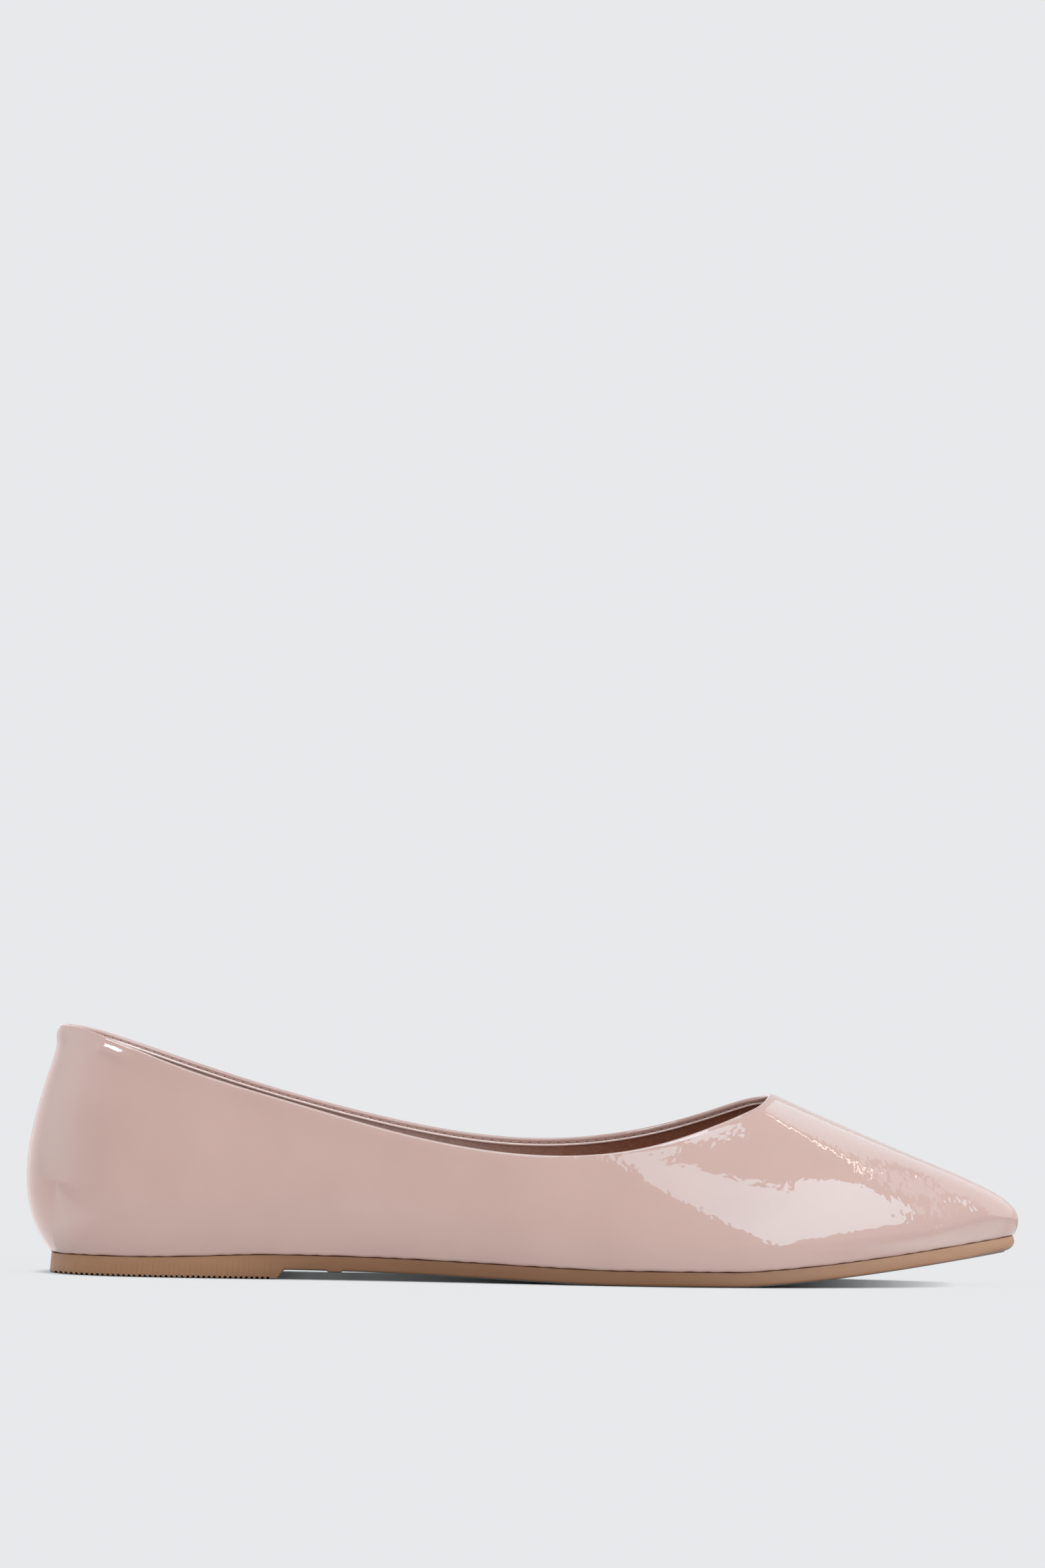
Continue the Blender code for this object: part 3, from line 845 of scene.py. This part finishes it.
def make_sock():
    """The padded sock, out to the lining and crowned."""
    s = paired_columns(paced_places(*SOCK_ROWS))
    wall = sunk(s, np.linspace(0.0, 0.6, 90), GRIP_IN + SOCK_GAP)
    floor = sole_top(curves(s)[0][:, 0])

    def at_height(height, inset):
        """The wall's outline at a height above the sole, drawn in."""
        loop = []
        for column, low in zip(wall.transpose(1, 0, 2), floor):
            loop.append([np.interp(height, column[:, 2] - low, column[:, k]) for k in (0, 1)])
        return np.column_stack([towards_spine(np.array(loop), inset), floor + height])

    base = GAP + WALL + GAP
    loops = [at_height(base + share * INSOLE_THICKNESS, inset) for share, inset in SOCK_SIDE]
    shares = np.linspace(0.0, 1.0, SOCK_LINES)
    lines = across(loops[-1], shares)
    width = np.linalg.norm(lines[:, 0] - lines[:, -1], axis=1)[:, None]
    fill = lines[:, 1:-1]
    crown = SOCK_CROWN * (1 - (2 * shares[1:-1] - 1) ** 4) * np.clip(width / SOCK_CROWN_WIDTH, 0, 1)
    fill[:, :, 2] = sole_top(fill[:, :, 0]) + base + INSOLE_THICKNESS + crown
    under_fill = across(loops[0], [0.5])
    under_fill[:, :, 2] = sole_top(under_fill[:, :, 0]) + base
    points, faces = filled_stack(loops, (len(loops) - 1, fill, True), (0, under_fill, False))
    # the forepart's darker tones are painted shade deep in the toe
    heel_tones, fore_shaded_tones = ((172, 142, 133), (186, 156, 146)), ((154, 114, 98), (168, 128, 112))
    cloth = lining_material("sock_cloth", heel_tones, fore_shaded_tones)
    return make_piece("padded_sock", points, faces, [cloth])


def tread_lift(x, share):
    """Depth of the grooves under the heel block and under the forefoot."""
    phase = (x - BACK_X) / TREAD_PITCH - 0.25
    number = np.round(phase)
    heel = (np.abs(phase - number) < 0.25) & (number >= 1) & (number < HEEL_GROOVES)
    pad = (x > BACK_X + PAD_MARGIN) & (x < BREAST_BACK_X - PAD_MARGIN)
    pad = pad & (share > PAD_SHARE) & (share < 1 - PAD_SHARE)
    phase = (x - FORE_BACK_X) / FORE_PITCH
    fore = (phase > 0) & (x < FORE_FRONT_X) & (np.abs(phase - np.floor(phase) - 0.5) < FORE_GROOVE)
    fore = fore & (share > FORE_BORDER) & (share < 1 - FORE_BORDER)
    return (heel & ~pad & (x < BREAST_BACK_X)) * TREAD_DEPTH + fore * FORE_DEPTH


def tread_places():
    """Places of the grooves' walls, the heel block's front face and the bar."""
    walls = []
    for i in range(1, HEEL_GROOVES):
        middle = BACK_X + (i + 0.25) * TREAD_PITCH
        walls += [middle - TREAD_PITCH / 4, middle + TREAD_PITCH / 4]
    for i in range(int((FORE_FRONT_X - FORE_BACK_X) / FORE_PITCH)):
        middle = FORE_BACK_X + (i + 0.5) * FORE_PITCH
        walls += [middle - FORE_GROOVE * FORE_PITCH, middle + FORE_GROOVE * FORE_PITCH]
    places = [wall + step for wall in walls for step in (-GROOVE_WALL, GROOVE_WALL)]
    half, side = BREAST_SLOPE / 2, LUG_WIDTH / 2
    for edge in (BREAST_X - half, BREAST_X + half):
        places += [edge + share * BREAST_FILLET for share in (-1.0, -0.48, 0.0, 0.48, 1.0)]
    for edge in (LUG_X - side, LUG_X - side + LUG_HEIGHT, LUG_X + side - LUG_HEIGHT, LUG_X + side):
        places += [edge - LUG_FILLET, edge, edge + LUG_FILLET]
    return np.array(places)


def sole_places():
    even, steps = paced_places(*SOLE_ROWS), tread_places()
    clear = np.abs(even[1:-1, None] - steps[None, :]).min(axis=1) > PLACE_CLEAR
    return np.sort(np.concatenate([even[:1], even[1:-1][clear], steps, even[-1:]]))


def sole_side(x, outline, out, ceiling):
    """Loops from the underside round its edge, up the drafted side and over the lip."""
    radius = SIDE_EDGE_ROUND + (TOE_EDGE_ROUND - SIDE_EDGE_ROUND) * np.clip(toe_run(x), 0.0, 1.0) ** 8
    radius = np.where(x < BREAST_X, HEEL_EDGE_ROUND, radius)
    loops = []
    for turn in np.radians(np.linspace(0.0, 90.0, EDGE_LEVELS)):
        height = np.maximum(sole_under(x) + radius * (1 - np.cos(turn)), ceiling)
        loops.append(np.column_stack([outline - (radius * (1 - np.sin(turn)))[:, None] * out, height]))
    draft = EDGE_DRAFT * (1 - LIP / SOLE_THICKNESS)
    for inset, down in ((draft, LIP), (EDGE_DRAFT + 0.3 * LIP, 0.3 * LIP), (EDGE_DRAFT + LIP, 0.0)):
        loops.append(np.column_stack([outline - inset * out, sole_top(x) - down]))
    return loops


def side_painted_shade(x, in_groove):
    """Painted shade on the lowest levels of the side, and all over the grooves' ends."""
    fading = 1 - TOE_SHADE_LACK * np.clip(toe_run(x), 0.0, 1.0)
    return np.concatenate([np.where(in_groove, 1.0, depth * fading) for depth in SIDE_PAINTED_SHADE])


def make_sole():
    s = paired_columns(sole_places())
    value, slope = curves(s)
    outline, out = value[:, :2], outline_normals(slope)
    x = value[:, 0]
    ceiling = sole_under(x) + tread_lift(x, np.zeros(len(s)))
    loops = sole_side(x, outline, out, ceiling)
    steps = [share + run for share in (FORE_BORDER, PAD_SHARE) for run in (-0.001, 0.001)]
    shares = np.sort([*SOLE_LINES, *steps])
    shares = np.concatenate([shares, 1 - shares[-2::-1]])
    fill = across(loops[0], shares)
    lift = tread_lift(fill[:, :, 0], np.broadcast_to(shares, fill.shape[:2]))
    fill[:, :, 2] = sole_under(fill[:, :, 0]) + lift
    roof_fill = across(loops[-1], [0.5])
    roof_fill[:, :, 2] = sole_top(roof_fill[:, :, 0])
    points, faces = filled_stack(loops, (0, fill, False), (len(loops) - 1, roof_fill, True))
    piece = make_piece("moulded_sole", points, faces, [rubber_material()])
    # painted shade: full in the grooves, lighter over the rest of the underside, and on the side's lowest
    # levels
    in_groove = tread_lift(points[:, 0], np.full(len(points), 0.2)) > 0
    shade = np.where(in_groove, 1.0, UNDER_PAINTED_SHADE)
    shade[:len(loops) * len(s)] = 0.0
    shade[:len(SIDE_PAINTED_SHADE) * len(s)] = side_painted_shade(x, ceiling > sole_under(x))
    piece.data.attributes.new(EDGE_SHADE, "FLOAT", "POINT").data.foreach_set("value", shade)
    return piece


def stitch_frames(s):
    """Points of the band's groove, with their normals and upward tangents."""
    centre, normal, rising = (part[0] for part in skin_frames(s, Ribs(s).below_top([STITCH_DOWN])))
    return centre - normal * (2 * RIM_RADIUS - STITCH_GROOVE), normal, rising


def stitch_rings(centre, steps):
    """Rings of points, one after another, from one array of points for each place on a ring."""
    return np.array([centre + step for step in steps]).transpose(1, 0, 2).reshape(-1, 3)


def capped_tubes(base, count, levels):
    """Faces of a row of closed tubes, each of some rings of points."""
    faces = []
    for start in range(base, base + count * levels * STITCH_SIDES, levels * STITCH_SIDES):
        for low in range(start, start + (levels - 1) * STITCH_SIDES, STITCH_SIDES):
            for k in range(STITCH_SIDES):
                a, b = low + k, low + (k + 1) % STITCH_SIDES
                faces.append((a, b, b + STITCH_SIDES, a + STITCH_SIDES))
        first = range(start, start + STITCH_SIDES)
        faces.append(tuple(first)[::-1])
        faces.append(tuple(k + (levels - 1) * STITCH_SIDES for k in first))
    return faces


def make_stitches():
    """Thread of the turned band, each stitch between two dark discs of painted shade for needle holes."""
    dense = np.linspace(0.0, period, 6001)
    line = skin_frames(dense, Ribs(dense).below_top([STITCH_DOWN]))[0][0]
    run = np.concatenate([[0.0], np.cumsum(np.linalg.norm(np.diff(line, axis=0), axis=1))])
    count = int(run[-1] / STITCH_PITCH)
    pitch = run[-1] / count
    turns = np.arange(STITCH_SIDES) * 2 * math.pi / STITCH_SIDES
    along = np.linspace(-0.5, 0.5, STITCH_RINGS)
    places = (np.arange(count) + 0.5)[:, None] * pitch + along[None, :] * STITCH_LENGTH
    centre, normal, rising = stitch_frames(np.interp(places.ravel(), run, dense))
    radius = STITCH_RADIUS * np.tile(np.sqrt(np.clip(1 - (2 * along) ** 4, 0.02, 1)), count)[:, None]
    steps = [radius * (math.cos(turn) * normal + math.sin(turn) * rising) for turn in turns]
    thread = stitch_rings(centre - STITCH_SINK * normal, steps)
    centre, normal, rising = stitch_frames(np.interp(np.arange(count) * pitch, run, dense))
    level = unit(np.cross(normal, rising))
    steps = []
    for depth in HOLE_DEPTHS:
        for turn in turns:
            ring = HOLE_HALF_LENGTH * math.cos(turn) * level + HOLE_HALF_HEIGHT * math.sin(turn) * rising
            steps.append(ring - depth * normal)
    hole_shade = stitch_rings(centre, steps)
    faces = capped_tubes(0, count, STITCH_RINGS)
    slots = [0] * len(faces)
    faces += capped_tubes(len(thread), count, len(HOLE_DEPTHS))
    slots += [1] * (len(faces) - len(slots))
    materials = [
        plain_material("thread", 0.6, (176, 143, 133), (196, 163, 152)),
        # dark discs of painted shade for the needle holes
        plain_material("needle_hole_shade", 0.9, (104, 78, 70), (118, 90, 81)),
    ]
    points = np.concatenate([thread, hole_shade])
    return make_piece("topline_stitches", points, faces, materials, slots=slots)


# Room
AMBIENT = (0.799, 0.815, 0.831)
ZENITH_GAIN = 0.05  # how much brighter the room is overhead
KEY_DIRECTION = (65, 20)  # azimuth and elevation of its brightest side
KEY_GAIN = 0.95
KEY_FOCUS = 2.0

# Floor
FLOOR_REACH = 40.0
FLOOR_GLOW = 0.94  # share of the floor's light that comes from below
CONTACT_REACH = 0.0065  # the shoe shades that share this far round it

# Camera, level with the shoe's side but for a small tilt down, and rolled as the photo is
CAMERA_PLACE = (-0.00172, -5.0, 0.20594)
CAMERA_DOWN = math.radians(0.899)
CAMERA_ROLL = math.radians(0.89)
LENS = 445.8
SENSOR_WIDTH = 36.0

# Tints of the panels that the gloss shows
COOL = (0.66, 0.93, 1.04)
PALE = (0.8, 0.94, 1.0)
WARM = (1.0, 0.88, 0.76)
ROSE = (0.95, 0.88, 0.89)

# Sheen of the floor round the shoe, for the gloss alone, and brighter patches just above it: tint,
# radiance, height, near left corner, far right corner, and how the radiance slopes along the axes
SHEEN_HEIGHT = 0.0002
PATCH_HEIGHT = 0.0004
SHEENS = (
    ("floor_sheen", COOL, 1.0, SHEEN_HEIGHT, (-20.0, -20.0), (20.0, 20.0), (
        ("X", (0.0, 0.1), (1.0, 1.1)), ("Y", (-0.06, 0.02), (1.0, 0.35)),
    )),
    ("rear_sheen", ROSE, 1.3, PATCH_HEIGHT, (-20.0, 0.0), (-0.125, 20.0), (
        ("Y", (0.0, 0.1), (1.0, 0.923)),
    )),
    ("side_sheen", PALE, 2.1, PATCH_HEIGHT, (-20.0, -0.08), (-0.125, 0.0), (
        ("X", (-0.145, -0.125), (1.0, 0.42)), ("Y", (-0.08, -0.02), (0.452, 1.0)),
        ("Y", (-0.02, 0.0), (1.0, 0.62)),
    )),
    ("toe_sheen", COOL, 2.6, PATCH_HEIGHT, (0.11, -0.07), (0.26, 0.06), (
        ("X", (0.11, 0.14), (0.404, 1.0)), ("X", (0.15, 0.23), (1.0, 0.5)),
        ("Y", (-0.07, -0.025), (0.35, 1.0)), ("Y", (-0.004, 0.005), (1.0, 0.5)),
    )),
)

# Softboxes that only the gloss shows: tint, radiance, corners as azimuth and elevation in degrees,
# 0 being towards the near side and 90 along the toe, then how the radiance slopes along the axes
SOFTBOX_DISTANCE = 6.0
SOFTBOX_CENTRE = Vector((0.06, -0.03, 0.025))
SOFTBOXES = (
    ("front_softbox", COOL, 4.7, (
        (-4.5, 70), (-3.5, 62), (-2, 54), (1.2, 51), (9.5, 43), (17, 33.5), (23, 23), (30, 11), (36.5, 0),
        (42, 4), (48, 6.2), (58, 10.4), (67.7, 13.4), (68.5, 25), (75.6, 38.5), (83, 50), (85, 54),
        (77, 55.6), (65, 55.8), (52, 51.6), (46, 53.7), (41, 55.8), (28.4, 59.4), (19, 63), (8, 61.4),
        (12, 63.8), (20, 67.5), (22, 71), (7, 75), (-4, 75),
    ), (("X", (0.5, 3.5), (1.0, 1.362)),)),
    ("overhead_softbox", COOL, 5.2, (
        (25, 71.5), (31.6, 69.6), (42.6, 70.1), (54, 70.2), (64, 69.9), (78, 68.4), (84, 67.5), (87, 71),
        (88, 78), (80, 83), (50, 82), (25, 76),
    ), ()),
    ("rear_softbox", COOL, 4.4, ((120, 73), (160, 71), (200, 74), (240, 78), (200, 84), (140, 81)), ()),
    ("zenith_light", COOL, 9.0, ((0, 82), (60, 82), (120, 82), (180, 82), (240, 82), (300, 82)), ()),
    ("toe_wall", PALE, 3.2, (
        (72.5, 0), (71.5, 14), (72.5, 27), (78, 36.5), (82.5, 43.5), (88, 49.5), (96, 52.6), (104, 54.3),
        (112, 54.8), (119, 54.5), (126, 53.3), (133, 52.2), (143, 50.5), (149, 46.5), (157, 40),
        (163, 32), (168, 24), (150, 20), (120, 12), (100, 0),
    ), (("Y", (-2.0, 6.0), (1.0, 0.531)),)),
    ("heel_wall", PALE, 2.2, (
        (-38, 0), (-38, 30), (-55, 42), (-85, 45), (-115, 42), (-128, 30), (-128, 0),
    ), (
        ("Y", (-6.0, -1.0), (0.386, 1.0)), ("Y", (0.5, 4.5), (1.0, 0.55)),
        ("Z", (2.0, 5.0), (1.0, 0.6)), ("Z", (0.0, 1.0), (0.85, 1.0)),
    )),
    ("heel_flag", ROSE, 1.25, ((-127, 0), (-127, 35), (-150, 42), (-176, 35), (-176, 0)), ()),
    ("strip_light", WARM, 10.0, (
        (95, 54.4), (103.5, 55.6), (110, 55.5), (116, 55.5), (120, 55.5), (126, 55.3), (131, 54.8),
        (131, 55.8), (126, 56.2), (120, 56.2), (116, 55.95), (110, 55.85), (103.5, 55.9), (95, 54.7),
    ), ()),
    ("window", COOL, 20.0, ((-52, 40), (-52, 56), (-24, 56), (-24, 40)), ()),
)


def direction(azimuth, elevation):
    azimuth, elevation = math.radians(azimuth), math.radians(elevation)
    level = math.cos(elevation)
    return Vector((math.sin(azimuth) * level, -math.cos(azimuth) * level, math.sin(elevation)))


def make_softbox(name, tint, radiance, corners, slopes):
    """A flat glowing panel, square to the direction of its middle."""
    rays = [direction(*corner) for corner in corners]
    middle = sum(rays, Vector()).normalized()
    points = [ray * SOFTBOX_DISTANCE / ray.dot(middle) for ray in rays]
    stage_panel(name, points, tint, radiance, SOFTBOX_CENTRE, slopes)


def stage_panel(name, points, tint, radiance, centre, slopes):
    """A face that glows for glossy rays alone, with slopes of its radiance along its own axes."""
    material = bpy.data.materials.new(name)
    material.use_nodes = True
    tree = material.node_tree
    tree.nodes.clear()
    output = tree.nodes.new("ShaderNodeOutputMaterial")
    glow = tree.nodes.new("ShaderNodeEmission")
    glow.inputs["Color"].default_value = (*tint, 1.0)
    glow.inputs["Strength"].default_value = radiance
    tree.links.new(glow.outputs[0], output.inputs["Surface"])
    place = tree.nodes.new("ShaderNodeSeparateXYZ")
    tree.links.new(tree.nodes.new("ShaderNodeTexCoord").outputs["Object"], place.inputs[0])
    strength = radiance
    for axis, places, shares in slopes:
        slope = map_range(tree, places, shares)
        tree.links.new(place.outputs[axis], slope.inputs["Value"])
        strength = calculate(tree, "MULTIPLY", slope.outputs[0], strength)
        tree.links.new(strength, glow.inputs["Strength"])
    material.cycles.emission_sampling = "NONE"
    panel = add_mesh(name, points, [tuple(range(len(points)))], [material])
    panel.location = centre
    panel.visible_diffuse = False
    panel.visible_camera = False
    panel.visible_shadow = False


def make_sheens():
    """What the gloss shows of the floor, which is brighter near the shoe than the floor itself."""
    for name, tint, radiance, height, (left, near), (right, far), slopes in SHEENS:
        points = [(left, near, height), (right, near, height), (right, far, height), (left, far, height)]
        stage_panel(name, points, tint, radiance, Vector(), slopes)


def room_strength(rays):
    """Radiance of the room in these directions, over the ambient."""
    key = np.clip(rays @ np.array(direction(*KEY_DIRECTION)), 0.0, None)
    return 1 + ZENITH_GAIN * rays[:, 2] + KEY_GAIN * key**KEY_FOCUS


def floor_diffuse():
    """Reflectance with which the floor is as bright as the room at its horizon."""
    height, azimuth = np.meshgrid((np.arange(200) + 0.5) / 200, np.arange(360) * math.pi / 180)
    level = np.sqrt(1 - height**2)
    rays = np.stack([level * np.sin(azimuth), -level * np.cos(azimuth), height], axis=-1).reshape(-1, 3)
    return (1 - FLOOR_GLOW) / np.average(room_strength(rays), weights=rays[:, 2])


def make_floor():
    """A wide pale floor, lit partly by the room and partly from below."""
    colours = {"Base_Color": (*[floor_diffuse()] * 3, 1.0), "Emission_Color": (*AMBIENT, 1.0)}
    nodes = Nodes("pale_floor", 0.9, Specular_IOR_Level=0.0, **colours)
    contact = nodes.tree.nodes.new("ShaderNodeAmbientOcclusion")
    contact.samples = 1
    contact.inputs["Distance"].default_value = CONTACT_REACH
    glow = map_range(nodes.tree, (0.0, 1.0), (0.0, FLOOR_GLOW))
    nodes.link(contact.outputs["AO"], glow, "Value")
    nodes.set("Emission Strength", glow.outputs[0])
    nodes.material.cycles.emission_sampling = "NONE"
    corners = [(x * FLOOR_REACH, y * FLOOR_REACH, 0) for x, y in ((-1, -1), (1, -1), (1, 1), (-1, 1))]
    floor = add_mesh("floor", corners, [(0, 1, 2, 3)], [nodes.material])


def make_world():
    """An even pale room, brighter overhead and on the toe's side."""
    world = bpy.data.worlds.new("studio")
    world.use_nodes = True
    tree = world.node_tree
    background = tree.nodes["Background"]
    background.inputs["Color"].default_value = (*AMBIENT, 1.0)
    ray = tree.nodes.new("ShaderNodeTexCoord").outputs["Generated"]

    def facing(towards):
        node = tree.nodes.new("ShaderNodeVectorMath")
        node.operation = "DOT_PRODUCT"
        node.inputs[1].default_value = towards
        tree.links.new(ray, node.inputs[0])
        return node.outputs["Value"]

    key = calculate(tree, "MAXIMUM", facing(direction(*KEY_DIRECTION)), 0.0)
    key = calculate(tree, "MULTIPLY", calculate(tree, "POWER", key, KEY_FOCUS), KEY_GAIN)
    zenith = calculate(tree, "MAXIMUM", facing((0, 0, 1)), 0.0)
    zenith = calculate(tree, "MULTIPLY", zenith, ZENITH_GAIN)
    strength = calculate(tree, "ADD", calculate(tree, "ADD", key, zenith), 1.0)
    tree.links.new(strength, background.inputs["Strength"])
    bpy.context.scene.world = world


def make_camera():
    data = bpy.data.cameras.new("camera")
    data.lens = LENS
    data.sensor_width = SENSOR_WIDTH
    data.clip_start, data.clip_end = 0.1, 100.0
    camera = bpy.data.objects.new("camera", data)
    level, risen = Vector((1.0, 0.0, 0.0)), Vector((0.0, math.sin(CAMERA_DOWN), math.cos(CAMERA_DOWN)))
    across_axis = level * math.cos(CAMERA_ROLL) + risen * math.sin(CAMERA_ROLL)
    up_axis = risen * math.cos(CAMERA_ROLL) - level * math.sin(CAMERA_ROLL)
    turn = Matrix((across_axis, up_axis, across_axis.cross(up_axis))).transposed().to_4x4()
    camera.matrix_world = Matrix.Translation(CAMERA_PLACE) @ turn
    bpy.context.scene.collection.objects.link(camera)
    bpy.context.scene.camera = camera


upper = make_upper()
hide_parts("upper")
make_lining()
sock = make_sock()
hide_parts("insole")
sole = make_sole()
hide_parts("outsole")
make_stitches()

make_floor()
make_world()
make_sheens()
for softbox in SOFTBOXES:
    make_softbox(*softbox)
make_camera()
bpy.context.scene.view_settings.view_transform = "Standard"
